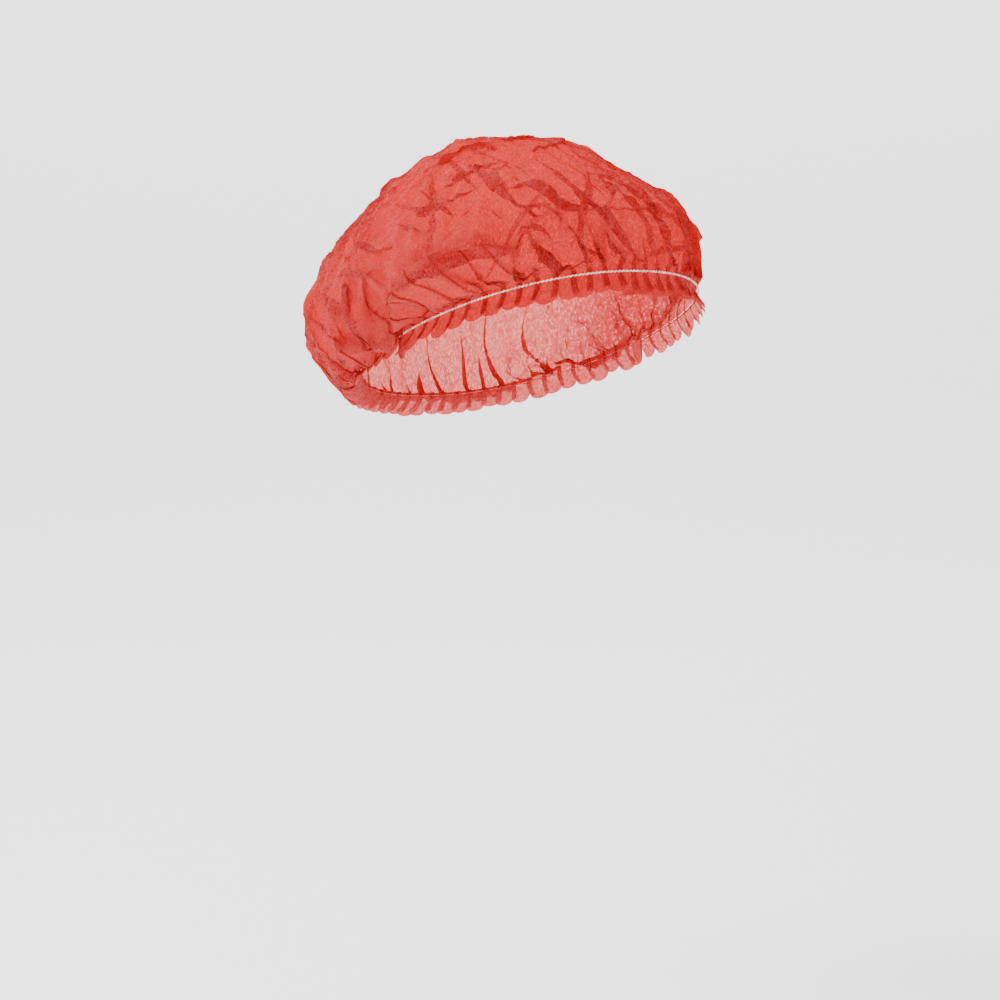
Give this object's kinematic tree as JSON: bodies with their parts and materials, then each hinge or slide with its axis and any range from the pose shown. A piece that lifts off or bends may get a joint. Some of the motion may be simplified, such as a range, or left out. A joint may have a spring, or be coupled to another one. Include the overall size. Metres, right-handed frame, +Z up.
{
  "type": "disposable mob cap",
  "caption": "Puffed red non-woven mob cap with a gathered elastic rim, a pleated frill and fused ends at the ears.",
  "frame": {"origin": "middle of the loop of elastic round the head opening, where the cap sits on a head", "axes": "+Z up as worn, the face toward -Y, the wearer's left toward +X"},
  "size_m": [0.192, 0.2319, 0.1513],
  "materials": {
    "nonwoven_cloth": "sheer spunbond polypropylene, matte",
    "nonwoven_frill": "sheer spunbond polypropylene, matte, pleated",
    "elastic_thread": "covered elastic thread, matte",
    "fused_cloth": "pleats fused by heat, slightly glossy"
  },
  "bodies": {
    "root": {"crown": "nonwoven_cloth", "front_frill": "nonwoven_frill", "back_frill": "nonwoven_frill", "front_elastic": "elastic_thread", "back_elastic": "elastic_thread", "right_end_weld": "fused_cloth", "left_end_weld": "fused_cloth"}
  },
  "joints": []
}
